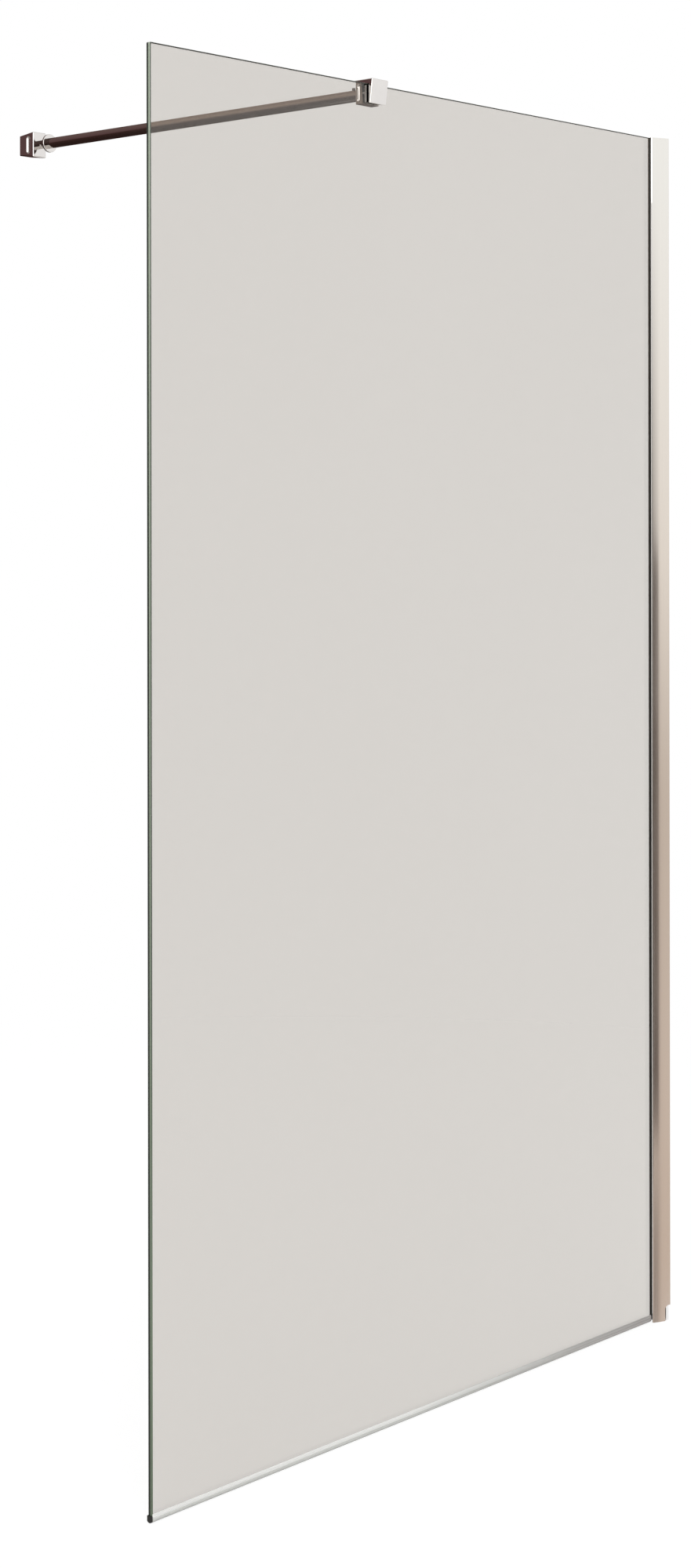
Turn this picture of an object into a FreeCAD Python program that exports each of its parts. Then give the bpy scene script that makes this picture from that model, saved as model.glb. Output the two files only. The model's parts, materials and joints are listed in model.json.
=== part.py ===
import FreeCAD, Part
import os
from math import cos, hypot, pi, radians, sin

# Walk-in shower screen: a single glass panel held along one edge by a telescoping wall profile,
# and braced at its top edge by a round bar that runs square to the glass to the rear wall.
# Millimetres. X runs along the glass towards the side wall, Y from the glass towards the rear wall
# and Z up. The origin is on the side wall at floor level, in the middle of the glass's thickness.

V = FreeCAD.Vector

# Two places nearer than this are taken as one
NEAR = 0.01

# Overall sizes
SCREEN_WIDTH = 1100.0
SCREEN_HEIGHT = 1850.0
GLASS_THICK = 8.0
GLASS_ARRIS = 0.6
REAR_WALL_REACH = 728.0

# Wall channel, screwed to the side wall
CHANNEL_DEPTH = 17.5
CHANNEL_BASE = 2.0
CHANNEL_WALL = 1.8
CHANNEL_RETURN = 6.6
CHANNEL_TOP_GAP = 2.0
CHANNEL_HOLE_R = 2.5
CHANNEL_END_HOLE = 75.0
CHANNEL_HOLES = 4
CHANNEL_GROOVE = 0.5

# Glazing profile, which slides over the channel and holds the glass
PROFILE_SKIN = 1.6
PROFILE_FLARE = 12.2
PROFILE_CROWN = 0.8
PROFILE_EDGE_R = 0.7
PROFILE_REAR_STEP = 2.1
PROFILE_REAR_BEVEL = 4.5
PROFILE_WALL_GAP = 0.5
WEB_THICK = 1.5
WEB_GAP = 0.5
GUIDE_GAP = 0.3
GUIDE_RIB_GAP = 0.6
GUIDE_RIB_THICK = 1.5
POCKET_DEPTH = 10.5
POCKET_FIT = 0.1
NOSE_LIP = 2.0
NOSE_ROUND = 2.3
REAR_NOSE_SHORT = 6.0
REAR_NOSE_LIP = 1.0
NOTCH_WIDTH = 10.5
NOTCH_HEIGHT = 24.4
NOTCH_CORNER_R = 6.5

# Gaskets and the strip that cushions the glass edge
GASKET_THICK = 2.2
GASKET_LIP_REACH = 0.8
GASKET_LIP_TIP = 0.7
GASKET_LIP_CROWN = 0.35
EDGE_STRIP_THICK = 1.5

# Cap on the top of the profile
TOP_CAP_THICK = 1.8
TOP_CAP_LUG_DEPTH = 9.0
TOP_CAP_LUG_HEIGHT = 10.0
TOP_CAP_LUG_FIT = 0.3
TOP_CAP_GLASS_FIT = 0.2

# Screws that lock the profile's width, with their covers
LOCK_SCREW_R = 2.0
LOCK_SCREW_INSET = 6.0
LOCK_SCREW_END = 120.0
LOCK_SCREW_COUNT = 3
LOCK_SCREW_TIP_GAP = 0.1
LOCK_HEAD_R = 3.6
LOCK_HEAD_TOP_R = 1.8
LOCK_HEAD_HEIGHT = 2.2
SCREW_FIT = 0.05
COVER_FIT = 0.3
COVER_WALL = 0.8

# Seal along the foot of the glass
SEAL_WALL = 1.2
SEAL_LEG = 6.8
SEAL_REAR_LEG = 4.0
SEAL_LEG_TIP = 0.4
SEAL_LEG_TAPER = 2.4
SEAL_BASE = 1.5
SEAL_BULB = 3.5
SEAL_BULB_WALL = 1.0
SEAL_END_GAP = 0.3
END_CAP_THICK = 1.5
END_CAP_WIDTH = 8.4
END_CAP_HEIGHT = 8.6
END_CAP_SHOULDER = 2.2
END_CAP_TONGUE = 6.0
END_CAP_FIT = 0.15

# Clamp on the glass's top edge
BAR_FROM_FREE_EDGE = 424.5
CLAMP_WIDTH = 33.0
CLAMP_HEIGHT = 33.0
CLAMP_ROOF = 6.3
CLAMP_ROOF_GAP = 0.5
CLAMP_REAR = 14.0
CLAMP_SLOT_TAPER = 3.5
CLAMP_JAW = 6.9
CLAMP_JAW_TAPER = 4.5
CLAMP_EDGE_R = 1.2
FRONT_PAD_THICK = 1.6
REAR_PAD_THICK = 1.5
PAD_MARGIN = 1.2
PLATE_THICK = 2.0
PLATE_MARGIN = 1.5
PLATE_EDGE_R = 0.5
JAW_ROOM = 1.5
CLAMP_SCREW_R = 2.0
CLAMP_SCREW_OFFSET = 11.0
CLAMP_SCREW_SINK = 1.0
HEX_FLATS = 2.0
HEX_DEPTH = 2.5
CLAMP_FLUTE = (6.7, 24.0, 2.0)
CLAMP_FLUTE_INSET = 6.2

# Support bar and the spigot that carries it at the clamp
BAR_D = 16.0
BAR_DROP = 1.3
BAR_WALL = 1.5
BAR_END_GAP = 0.2
SPIGOT_FIT = 0.1
SPIGOT_LENGTH = 27.5
SPIGOT_SHANK_R = 5.0
SPIGOT_SHANK_SHORT = 0.6
SPIGOT_CHAMFER = 1.0
BAR_SCREW_R = 1.5
BAR_SCREW_FROM_CLAMP = 18.0
BAR_SCREW_HEAD_R = 2.3
BAR_SCREW_HEAD_HEIGHT = 3.4
BAR_SCREW_HEAD_ROUND = 0.7
BAR_SCREW_DEPTH = 3.0
SET_SCREW_FROM_END = 15.0

# Fitting at the rear wall: turned stud, hollow block and the base that is screwed to the wall
STUD_SHOW = 25.0
STUD_SPIGOT = 30.0
STUD_FLANGE_R = 14.0
STUD_FLANGE_RIM = 3.0
STUD_FLANGE_ROUND = 0.8
STUD_NECK_R = 6.5
STUD_NECK_LENGTH = 6.0
STUD_NECK_SWEEP = 0.22
STUD_SHANK_LENGTH = 8.0
BLOCK_WIDTH = 26.0
BLOCK_HEIGHT = 39.0
BLOCK_DEPTH = 32.0
BLOCK_TAPER = 4.0
BLOCK_FRONT_WALL = 8.0
BLOCK_SIDE_WALL = 3.5
BLOCK_EDGE_R = 1.5
BLOCK_WALL_GAP = 0.3
BLOCK_FLUTE = (9.0, 27.0, 2.0)
BLOCK_FLUTE_INSET = 11.5
BASE_DEPTH = 8.0
BASE_FIT = 0.2
BASE_HOLE_R = 2.25
BASE_HOLE_SPACING = 13.0
BASE_SINK_R = 4.4
BASE_SINK_DEPTH = 2.2
BLOCK_SCREW_R = 2.0
BLOCK_SCREW_FROM_WALL = 4.2
BLOCK_SCREW_SINK = 0.6

# Places that several pieces share
GLASS_HALF = GLASS_THICK / 2
GLASS_FREE_X = -(SCREEN_WIDTH - END_CAP_THICK)
GLASS_FOOT_Z = SEAL_BASE + SEAL_BULB
WEB_X = -(CHANNEL_DEPTH + WEB_GAP)
POCKET_X = WEB_X - WEB_THICK
NOSE_X = POCKET_X - POCKET_DEPTH
REAR_NOSE_X = NOSE_X + REAR_NOSE_SHORT
GLASS_WALL_X = POCKET_X - EDGE_STRIP_THICK
POCKET_HALF = GLASS_HALF + GASKET_THICK + POCKET_FIT
NOSE_HALF = POCKET_HALF + NOSE_LIP
PROFILE_FRONT_Y = -(NOSE_HALF + PROFILE_FLARE)
PROFILE_REAR_Y = NOSE_HALF + PROFILE_REAR_STEP
CAVITY_HALF = PROFILE_REAR_Y - PROFILE_SKIN
CHANNEL_HALF = CAVITY_HALF - GUIDE_GAP
PROFILE_TOP_Z = SCREEN_HEIGHT - TOP_CAP_THICK
GASKET_TIP_X = NOSE_X - GASKET_LIP_REACH

CLAMP_X = GLASS_FREE_X + BAR_FROM_FREE_EDGE
CLAMP_TOP_Z = SCREEN_HEIGHT + CLAMP_ROOF_GAP + CLAMP_ROOF
CLAMP_FOOT_Z = CLAMP_TOP_Z - CLAMP_HEIGHT
SLOT_TOP_Z = SCREEN_HEIGHT + CLAMP_ROOF_GAP
SLOT_FRONT_Y = -(GLASS_HALF + FRONT_PAD_THICK)
PLATE_FRONT_Y = GLASS_HALF + REAR_PAD_THICK
PLATE_REAR_Y = PLATE_FRONT_Y + PLATE_THICK
SLOT_REAR_Y = PLATE_REAR_Y + JAW_ROOM
CLAMP_REAR_Y = SLOT_REAR_Y + CLAMP_REAR
BAR_Z = (CLAMP_TOP_Z + CLAMP_FOOT_Z) / 2 - BAR_DROP
BAR_R = BAR_D / 2
BAR_BORE_R = BAR_R - BAR_WALL
SPIGOT_R = BAR_BORE_R - SPIGOT_FIT
BLOCK_FRONT_Y = REAR_WALL_REACH - BLOCK_DEPTH
FLANGE_Y = BLOCK_FRONT_Y - STUD_SHOW


def on_xy(z):
    return lambda x, y: V(x, y, z)


def on_yz(x):
    return lambda y, z: V(x, y, z)


def on_xz(y):
    return lambda x, z: V(x, y, z)


def on_bar(y, r):
    """A point at radius r from the bar's axis, at depth y behind the glass."""
    return V(CLAMP_X + r, y, BAR_Z)


def outline(path, place):
    """Face inside a path of points. A pair of points is an arc through the first to the second."""
    edges = []
    here = place(*path[0])
    for step in path[1:] + path[:1]:
        if isinstance(step[0], tuple):
            through, end = (place(*point) for point in step)
            edges.append(Part.Arc(here, through, end).toShape())
        else:
            end = place(*step)
            edges.append(Part.LineSegment(here, end).toShape())
        here = end
    return Part.Face(Part.Wire(edges))


def prism(path, place, push):
    return outline(path, place).extrude(V(*push))


def block(x, y, z):
    """Box between the two values given for each axis."""
    size = [abs(high - low) for low, high in (x, y, z)]
    return Part.makeBox(*size, V(min(x), min(y), min(z)))


def rod(radius, start, way, length):
    return Part.makeCylinder(radius, length, V(*start), V(*way))


def turned(path):
    """Solid turned about the bar's axis from a path of (y, r) points."""
    return outline(path, on_bar).revolve(V(CLAMP_X, 0, BAR_Z), V(0, 1, 0), 360)


def cone_on_y(wide, narrow, start, length):
    return Part.makeCone(wide, narrow, length, V(*start), V(0, 1, 0))


def rounded(solid, radius, chosen):
    """The solid with a fillet on each edge that the chosen test accepts."""
    return solid.makeFillet(radius, [edge for edge in solid.Edges if chosen(edge)])


def runs_along(edge, axis, length):
    """True for an edge that runs the given length along one axis."""
    box = edge.BoundBox
    spans = {"x": box.XLength, "y": box.YLength, "z": box.ZLength}
    others = [span for name, span in spans.items() if name != axis]
    return abs(spans[axis] - length) < NEAR and max(others) < NEAR


def hex_socket(x, y, z, way):
    """Prism that cuts a hexagon socket into a screw's end at this point, along Y or Z as way points."""
    radius = HEX_FLATS / 2 / cos(radians(30))
    ring = [(radius * cos(pi / 3 * i), radius * sin(pi / 3 * i)) for i in range(6)]
    push = [HEX_DEPTH * part for part in way]
    if way[1]:
        return prism([(x + across, z + up) for across, up in ring], on_xz(y), push)
    return prism([(x + across, y + back) for across, back in ring], on_xy(z), push)


def capsule(radius, x, y, z, height):
    """Upright rod with ball ends, as tall as the given height."""
    half = height / 2 - radius
    shape = rod(radius, (x, y, z - half), (0, 0, 1), 2 * half)
    for end in (-half, half):
        shape = shape.fuse(Part.makeSphere(radius, V(x, y, z + end)))
    return shape.removeSplitter()


def cut_flutes(solid, flute, half_width, y):
    """Cut one upright ball-nosed flute into each side face of a fitting."""
    width, height, depth = flute
    radius = (width ** 2 / 4 + depth ** 2) / (2 * depth)
    over = radius - depth
    reach = height + 2 * (radius - width / 2)
    for side in (-1, 1):
        solid = solid.cut(capsule(radius, CLAMP_X + side * (half_width + over), y, BAR_Z, reach))
    return solid


def spread(first, last, count):
    return [first + (last - first) * i / (count - 1) for i in range(count)]


# Side wall: channel, glazing profile and what they hold

def front_slope():
    """How far the profile's front face flares out for each millimetre towards the wall."""
    return PROFILE_FLARE / (-PROFILE_WALL_GAP - NOSE_X)


def front_inside(x):
    """Y of the inside of the profile's front skin."""
    skin = PROFILE_SKIN * hypot(1, front_slope())
    return -NOSE_HALF - front_slope() * (x - NOSE_X) + skin


def wall_channel():
    """Channel with two legs that guide the profile and a short return behind its front skin."""
    inner = CHANNEL_HALF - CHANNEL_WALL
    top = SCREEN_HEIGHT - TOP_CAP_THICK - CHANNEL_TOP_GAP
    front = front_inside(-CHANNEL_RETURN) + GUIDE_GAP
    path = [
        (0, front), (-CHANNEL_RETURN, front), (-CHANNEL_RETURN, front + CHANNEL_WALL),
        (-CHANNEL_BASE, front + CHANNEL_WALL), (-CHANNEL_BASE, -CHANNEL_HALF),
        (-CHANNEL_DEPTH, -CHANNEL_HALF), (-CHANNEL_DEPTH, -inner),
        (-CHANNEL_BASE, -inner), (-CHANNEL_BASE, -CHANNEL_GROOVE),
        (-CHANNEL_BASE + CHANNEL_GROOVE, 0), (-CHANNEL_BASE, CHANNEL_GROOVE),
        (-CHANNEL_BASE, inner), (-CHANNEL_DEPTH, inner),
        (-CHANNEL_DEPTH, CHANNEL_HALF), (0, CHANNEL_HALF),
    ]
    channel = prism(path, on_xy(0), (0, 0, top))
    for z in spread(CHANNEL_END_HOLE, SCREEN_HEIGHT - CHANNEL_END_HOLE, CHANNEL_HOLES):
        channel = channel.cut(rod(CHANNEL_HOLE_R, (-2 * CHANNEL_BASE, 0, z), (1, 0, 0), 3 * CHANNEL_BASE))
    return channel


def profile_front():
    """End points and crowned middle of the profile's flared front face, from the nose to the wall."""
    start = (NOSE_X, -NOSE_HALF)
    end = (-PROFILE_WALL_GAP, PROFILE_FRONT_Y)
    run = end[0] - start[0]
    rise = end[1] - start[1]
    span = hypot(run, rise)
    middle = (
        (start[0] + end[0]) / 2 + PROFILE_CROWN * rise / span,
        (start[1] + end[1]) / 2 - PROFILE_CROWN * run / span,
    )
    return start, middle, end


def profile_rear():
    """Outline of the profile's flat rear, from the wall to the nose."""
    return [
        (-PROFILE_WALL_GAP, PROFILE_REAR_Y), (REAR_NOSE_X + PROFILE_REAR_BEVEL, PROFILE_REAR_Y),
        (REAR_NOSE_X, POCKET_HALF + REAR_NOSE_LIP),
    ]


def round_front(solid, height):
    """Round the two upright corners of the front face, over the given height."""
    start, _, end = profile_front()
    for corner, radius in ((start, NOSE_ROUND), (end, PROFILE_EDGE_R)):
        def at_corner(edge):
            at = edge.CenterOfMass
            return hypot(at.x - corner[0], at.y - corner[1]) < NEAR and runs_along(edge, "z", height)

        solid = rounded(solid, radius, at_corner)
    return solid


def glazing_profile():
    """Flared profile with a pocket for the glass, and a rib and a rear skin that slide on the channel."""
    start, middle, end = profile_front()
    rib = -(CHANNEL_RETURN + GUIDE_RIB_GAP)
    far = rib - GUIDE_RIB_THICK
    path = [
        start, (middle, end), (-PROFILE_WALL_GAP, front_inside(-PROFILE_WALL_GAP)),
        (rib, front_inside(rib)), (rib, -CAVITY_HALF), (far, -CAVITY_HALF), (far, front_inside(far)),
        (WEB_X, front_inside(WEB_X)), (WEB_X, CAVITY_HALF),
        (-PROFILE_WALL_GAP, CAVITY_HALF), *profile_rear(), (REAR_NOSE_X, POCKET_HALF),
        (POCKET_X, POCKET_HALF), (POCKET_X, -POCKET_HALF), (NOSE_X, -POCKET_HALF),
    ]
    profile = round_front(prism(path, on_xy(0), (0, 0, PROFILE_TOP_Z)), PROFILE_TOP_Z)
    corner = NOTCH_CORNER_R * (1 - cos(pi / 4))
    notch = [
        (PROFILE_SKIN, -NOTCH_CORNER_R), (-NOTCH_WIDTH, -NOTCH_CORNER_R),
        (-NOTCH_WIDTH, NOTCH_HEIGHT - NOTCH_CORNER_R),
        ((-NOTCH_WIDTH + corner, NOTCH_HEIGHT - corner), (NOTCH_CORNER_R - NOTCH_WIDTH, NOTCH_HEIGHT)),
        (PROFILE_SKIN, NOTCH_HEIGHT),
    ]
    front = 2 * PROFILE_FRONT_Y
    profile = profile.cut(prism(notch, on_xz(front), (0, -CAVITY_HALF + GUIDE_GAP / 2 - front, 0)))
    for z in lock_screw_heights():
        profile = profile.cut(lock_screw_shank(z, LOCK_SCREW_R + SCREW_FIT, PROFILE_SKIN))
    return profile


def gasket(side):
    """Wedge gasket between the glass and one wall of the pocket, with a lip outside the nose."""
    nose = NOSE_X if side < 0 else REAR_NOSE_X
    lip = nose - GASKET_LIP_REACH
    glass = side * GLASS_HALF
    back = side * (GLASS_HALF + GASKET_THICK)
    tip = side * (GLASS_HALF + GASKET_LIP_TIP)
    bend = ((nose + lip) / 2, (back + tip) / 2 + side * GASKET_LIP_CROWN)
    path = [
        (POCKET_X - POCKET_FIT, glass), (POCKET_X - POCKET_FIT, back), (nose, back),
        (bend, (lip, tip)), (lip, glass),
    ]
    return prism(path, on_xy(GLASS_FOOT_Z), (0, 0, PROFILE_TOP_Z - GLASS_FOOT_Z))


def glass_edge_strip():
    return block((GLASS_WALL_X, POCKET_X), (-GLASS_HALF, GLASS_HALF), (GLASS_FOOT_Z, PROFILE_TOP_Z))


def profile_top_cap():
    start, middle, end = profile_front()
    path = [start, (middle, end), *profile_rear(), (REAR_NOSE_X, 0), (NOSE_X, 0)]
    plate = round_front(prism(path, on_xy(PROFILE_TOP_Z), (0, 0, TOP_CAP_THICK)), TOP_CAP_THICK)
    room = GLASS_HALF + TOP_CAP_GLASS_FIT
    slot = block(
        (2 * NOSE_X, GLASS_WALL_X + TOP_CAP_GLASS_FIT), (-room, room),
        (PROFILE_TOP_Z - TOP_CAP_THICK, SCREEN_HEIGHT + TOP_CAP_THICK),
    )
    lug_half = CHANNEL_HALF - CHANNEL_WALL - TOP_CAP_LUG_FIT
    lug = block(
        (WEB_X, WEB_X + TOP_CAP_LUG_DEPTH), (-lug_half, lug_half),
        (PROFILE_TOP_Z - TOP_CAP_LUG_HEIGHT, PROFILE_TOP_Z),
    )
    return plate.cut(slot).fuse(lug).removeSplitter()


def lock_screw_heights():
    return spread(LOCK_SCREW_END, SCREEN_HEIGHT - LOCK_SCREW_END, LOCK_SCREW_COUNT)


def lock_screw_shank(z, radius, past):
    """Round shank through the profile's rear skin, from the channel out past the skin."""
    start = CHANNEL_HALF + LOCK_SCREW_TIP_GAP
    length = PROFILE_REAR_Y + past - start
    return rod(radius, (-LOCK_SCREW_INSET, start, z), (0, 1, 0), length)


def profile_lock_screws():
    screws = []
    for z in lock_screw_heights():
        place = (-LOCK_SCREW_INSET, PROFILE_REAR_Y, z)
        head = cone_on_y(LOCK_HEAD_R, LOCK_HEAD_TOP_R, place, LOCK_HEAD_HEIGHT)
        screw = lock_screw_shank(z, LOCK_SCREW_R, 0).fuse(head).removeSplitter()
        socket = hex_socket(-LOCK_SCREW_INSET, PROFILE_REAR_Y + LOCK_HEAD_HEIGHT, z, (0, -1, 0))
        screws.append(screw.cut(socket))
    return Part.makeCompound(screws)


def lock_screw_covers():
    """Domed covers that push over the heads of the lock screws."""
    inside = LOCK_HEAD_R + COVER_FIT
    height = LOCK_HEAD_HEIGHT + COVER_FIT
    covers = []
    for z in lock_screw_heights():
        place = (-LOCK_SCREW_INSET, PROFILE_REAR_Y, z)
        shell = rod(inside + COVER_WALL, place, (0, 1, 0), height + COVER_WALL)
        top = PROFILE_REAR_Y + height + COVER_WALL
        shell = rounded(shell, COVER_WALL, lambda edge: abs(edge.CenterOfMass.y - top) < NEAR)
        covers.append(shell.cut(rod(inside, place, (0, 1, 0), height)))
    return Part.makeCompound(covers)


# Glass and its foot seal

def glass_panel():
    panel = block(
        (GLASS_FREE_X, GLASS_WALL_X), (-GLASS_HALF, GLASS_HALF), (GLASS_FOOT_Z, SCREEN_HEIGHT),
    )
    return panel.makeChamfer(GLASS_ARRIS, panel.Edges)


def seal_hollow(fit):
    """Path round the hollow in the seal's bulb, or round a tongue that fits it."""
    half = GLASS_HALF + SEAL_WALL - SEAL_BULB_WALL - fit
    top = SEAL_BULB - fit
    foot = SEAL_BULB_WALL + fit
    return [(-half, top), ((0, foot), (half, top))]


def bottom_seal():
    """Seal with a hollow bulb on the floor, a tall leg in front of the glass and a short one behind."""
    inside = GLASS_HALF
    outside = GLASS_HALF + SEAL_WALL
    top = GLASS_FOOT_Z + SEAL_LEG
    rear = GLASS_FOOT_Z + SEAL_REAR_LEG
    path = [
        (-outside, SEAL_BULB), ((0, 0), (outside, SEAL_BULB)), (outside, rear - SEAL_LEG_TAPER),
        (inside + SEAL_LEG_TIP, rear), (inside, rear), (inside, GLASS_FOOT_Z),
        (-inside, GLASS_FOOT_Z), (-inside, top), (-inside - SEAL_LEG_TIP, top),
        (-outside, top - SEAL_LEG_TAPER),
    ]
    length = GASKET_TIP_X - SEAL_END_GAP - GLASS_FREE_X
    place = on_yz(GLASS_FREE_X)
    return prism(path, place, (length, 0, 0)).cut(prism(seal_hollow(0), place, (length, 0, 0)))


def seal_end_cap():
    """End piece that closes the seal at the free edge, with a tongue in the seal's hollow."""
    half = END_CAP_WIDTH / 2
    path = [
        (-half, END_CAP_SHOULDER), ((0, 0), (half, END_CAP_SHOULDER)),
        (half, END_CAP_HEIGHT), (-half, END_CAP_HEIGHT),
    ]
    plate = prism(path, on_yz(GLASS_FREE_X), (-END_CAP_THICK, 0, 0))
    tongue = prism(seal_hollow(END_CAP_FIT), on_yz(GLASS_FREE_X), (END_CAP_TONGUE, 0, 0))
    return plate.fuse(tongue).removeSplitter()


# Clamp on the glass

def clamp_screw_places():
    return [CLAMP_X - CLAMP_SCREW_OFFSET, CLAMP_X + CLAMP_SCREW_OFFSET]


def slot_rear(z):
    """Y of the slanted rear wall of the clamp's slot, which is deeper at the top."""
    return SLOT_REAR_Y + CLAMP_SLOT_TAPER * (z - CLAMP_FOOT_Z) / (SLOT_TOP_Z - CLAMP_FOOT_Z)


def clamp_body():
    """Block with a slot for the glass, a tapered front jaw and a thick rear that takes bar and screws."""
    half = CLAMP_WIDTH / 2
    front = SLOT_FRONT_Y - CLAMP_JAW
    path = [
        (CLAMP_REAR_Y, CLAMP_FOOT_Z), (CLAMP_REAR_Y, CLAMP_TOP_Z), (front, CLAMP_TOP_Z),
        (front + CLAMP_JAW_TAPER, CLAMP_FOOT_Z), (SLOT_FRONT_Y, CLAMP_FOOT_Z),
        (SLOT_FRONT_Y, SLOT_TOP_Z), (slot_rear(SLOT_TOP_Z), SLOT_TOP_Z), (SLOT_REAR_Y, CLAMP_FOOT_Z),
    ]
    body = prism(path, on_yz(CLAMP_X - half), (CLAMP_WIDTH, 0, 0))

    def is_outer_edge(edge):
        at = edge.CenterOfMass
        on_top = abs(at.z - CLAMP_TOP_Z) < NEAR
        on_rear = abs(at.y - CLAMP_REAR_Y) < NEAR
        on_side = abs(abs(at.x - CLAMP_X) - half) < NEAR
        on_jaw = on_side and at.y < SLOT_FRONT_Y - NEAR
        above_foot = at.z > CLAMP_FOOT_Z + NEAR
        return on_top or (above_foot and (on_rear or on_jaw))

    body = rounded(body, CLAMP_EDGE_R, is_outer_edge)
    body = cut_flutes(body, CLAMP_FLUTE, half, CLAMP_REAR_Y - CLAMP_FLUTE_INSET)
    start = SLOT_REAR_Y - JAW_ROOM
    through = CLAMP_REAR + 2 * JAW_ROOM
    for x in clamp_screw_places():
        body = body.cut(rod(CLAMP_SCREW_R + SCREW_FIT, (x, start, BAR_Z), (0, 1, 0), through))
    return body.cut(rod(SPIGOT_SHANK_R + SCREW_FIT, (CLAMP_X, start, BAR_Z), (0, 1, 0), through))


def clamp_front_pad():
    half = CLAMP_WIDTH / 2 - PAD_MARGIN
    return block(
        (CLAMP_X - half, CLAMP_X + half), (SLOT_FRONT_Y, -GLASS_HALF),
        (CLAMP_FOOT_Z + PAD_MARGIN, SLOT_TOP_Z),
    )


def clamp_plate(front, rear):
    """Upright plate in the rear of the slot, between the glass and the clamp screws."""
    half = CLAMP_WIDTH / 2 - PLATE_MARGIN
    return block(
        (CLAMP_X - half, CLAMP_X + half), (front, rear),
        (CLAMP_FOOT_Z + PLATE_MARGIN, SCREEN_HEIGHT - PLATE_MARGIN),
    )


def clamp_pressure_plate():
    plate = clamp_plate(PLATE_FRONT_Y, PLATE_REAR_Y)
    across = CLAMP_WIDTH - 2 * PLATE_MARGIN
    return rounded(plate, PLATE_EDGE_R, lambda edge: runs_along(edge, "x", across))


def clamp_rear_pad():
    return clamp_plate(GLASS_HALF, PLATE_FRONT_Y)


def clamp_screws():
    end = CLAMP_REAR_Y - CLAMP_SCREW_SINK
    screws = []
    for x in clamp_screw_places():
        screw = rod(CLAMP_SCREW_R, (x, PLATE_REAR_Y, BAR_Z), (0, 1, 0), end - PLATE_REAR_Y)
        screws.append(screw.cut(hex_socket(x, end, BAR_Z, (0, -1, 0))))
    return Part.makeCompound(screws)


# Support bar

def bar_spigot():
    """Turned spigot screwed into the clamp, over which the bar slips."""
    start = slot_rear(BAR_Z + SPIGOT_SHANK_R) + SPIGOT_SHANK_SHORT
    end = CLAMP_REAR_Y + SPIGOT_LENGTH
    spigot = turned([
        (start, 0), (start, SPIGOT_SHANK_R),
        (CLAMP_REAR_Y, SPIGOT_SHANK_R), (CLAMP_REAR_Y, SPIGOT_R), (end - SPIGOT_CHAMFER, SPIGOT_R),
        (end, SPIGOT_R - SPIGOT_CHAMFER), (end, 0),
    ])
    seat = BAR_BORE_R - BAR_SCREW_DEPTH
    return spigot.cut(bar_screw_shank(BAR_SCREW_R + SCREW_FIT, seat, BAR_R))


def bar_screw_shank(radius, inner, outer):
    """Upright shank through the top of the bar, between two distances from the bar's axis."""
    y = CLAMP_REAR_Y + BAR_SCREW_FROM_CLAMP
    return rod(radius, (CLAMP_X, y, BAR_Z + inner), (0, 0, 1), outer - inner)


def set_screw(radius, inner, outer):
    """Upright screw through the foot of the bar at its wall end, between two distances from the axis."""
    y = FLANGE_Y - SET_SCREW_FROM_END
    return rod(radius, (CLAMP_X, y, BAR_Z - inner), (0, 0, -1), outer - inner)


def support_bar():
    start = CLAMP_REAR_Y + BAR_END_GAP
    tube = turned([(start, BAR_BORE_R), (start, BAR_R), (FLANGE_Y, BAR_R), (FLANGE_Y, BAR_BORE_R)])
    tube = tube.cut(bar_screw_shank(BAR_SCREW_R + SCREW_FIT, 0, 2 * BAR_R))
    return tube.cut(set_screw(BAR_SCREW_R + SCREW_FIT, 0, 2 * BAR_R))


def bar_lock_screw():
    """Cap screw that pins the bar to the spigot, its head standing on the top of the bar."""
    y = CLAMP_REAR_Y + BAR_SCREW_FROM_CLAMP
    head = rod(BAR_SCREW_HEAD_R, (CLAMP_X, y, BAR_Z + BAR_R), (0, 0, 1), BAR_SCREW_HEAD_HEIGHT)
    top = BAR_Z + BAR_R + BAR_SCREW_HEAD_HEIGHT
    head = rounded(head, BAR_SCREW_HEAD_ROUND, lambda edge: abs(edge.CenterOfMass.z - top) < NEAR)
    middle = BAR_R + BAR_SCREW_HEAD_HEIGHT / 2
    shank = bar_screw_shank(BAR_SCREW_R, BAR_BORE_R - BAR_SCREW_DEPTH, middle)
    return head.fuse(shank).removeSplitter().cut(hex_socket(CLAMP_X, y, top, (0, 0, -1)))


def bar_set_screw():
    return set_screw(BAR_SCREW_R, SPIGOT_R + SCREW_FIT, BAR_R - SCREW_FIT)


# Fitting at the rear wall

def wall_stud():
    """Turned stud: spigot in the bar, flange against the bar's end, flared neck and shank in the block."""
    rim = FLANGE_Y + STUD_FLANGE_RIM
    neck = BLOCK_FRONT_Y - STUD_NECK_LENGTH
    sweep = ((neck + rim) / 2, STUD_NECK_R + (STUD_FLANGE_R - STUD_NECK_R) * STUD_NECK_SWEEP)
    corner = STUD_FLANGE_ROUND * (1 - cos(pi / 4))
    start = FLANGE_Y - STUD_SPIGOT
    return turned([
        (start, 0), (start, SPIGOT_R - SPIGOT_CHAMFER), (start + SPIGOT_CHAMFER, SPIGOT_R),
        (FLANGE_Y, SPIGOT_R), (FLANGE_Y, STUD_FLANGE_R - STUD_FLANGE_ROUND),
        ((FLANGE_Y + corner, STUD_FLANGE_R - corner), (FLANGE_Y + STUD_FLANGE_ROUND, STUD_FLANGE_R)),
        (rim, STUD_FLANGE_R), (sweep, (neck, STUD_NECK_R)), (BLOCK_FRONT_Y, STUD_NECK_R),
        (BLOCK_FRONT_Y, SPIGOT_SHANK_R), (BLOCK_FRONT_Y + STUD_SHANK_LENGTH, SPIGOT_SHANK_R),
        (BLOCK_FRONT_Y + STUD_SHANK_LENGTH, 0),
    ])


def block_half_height(y):
    """Half the block's height at depth y: it tapers towards the wall."""
    return BLOCK_HEIGHT / 2 - BLOCK_TAPER * (y - BLOCK_FRONT_Y) / BLOCK_DEPTH


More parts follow.
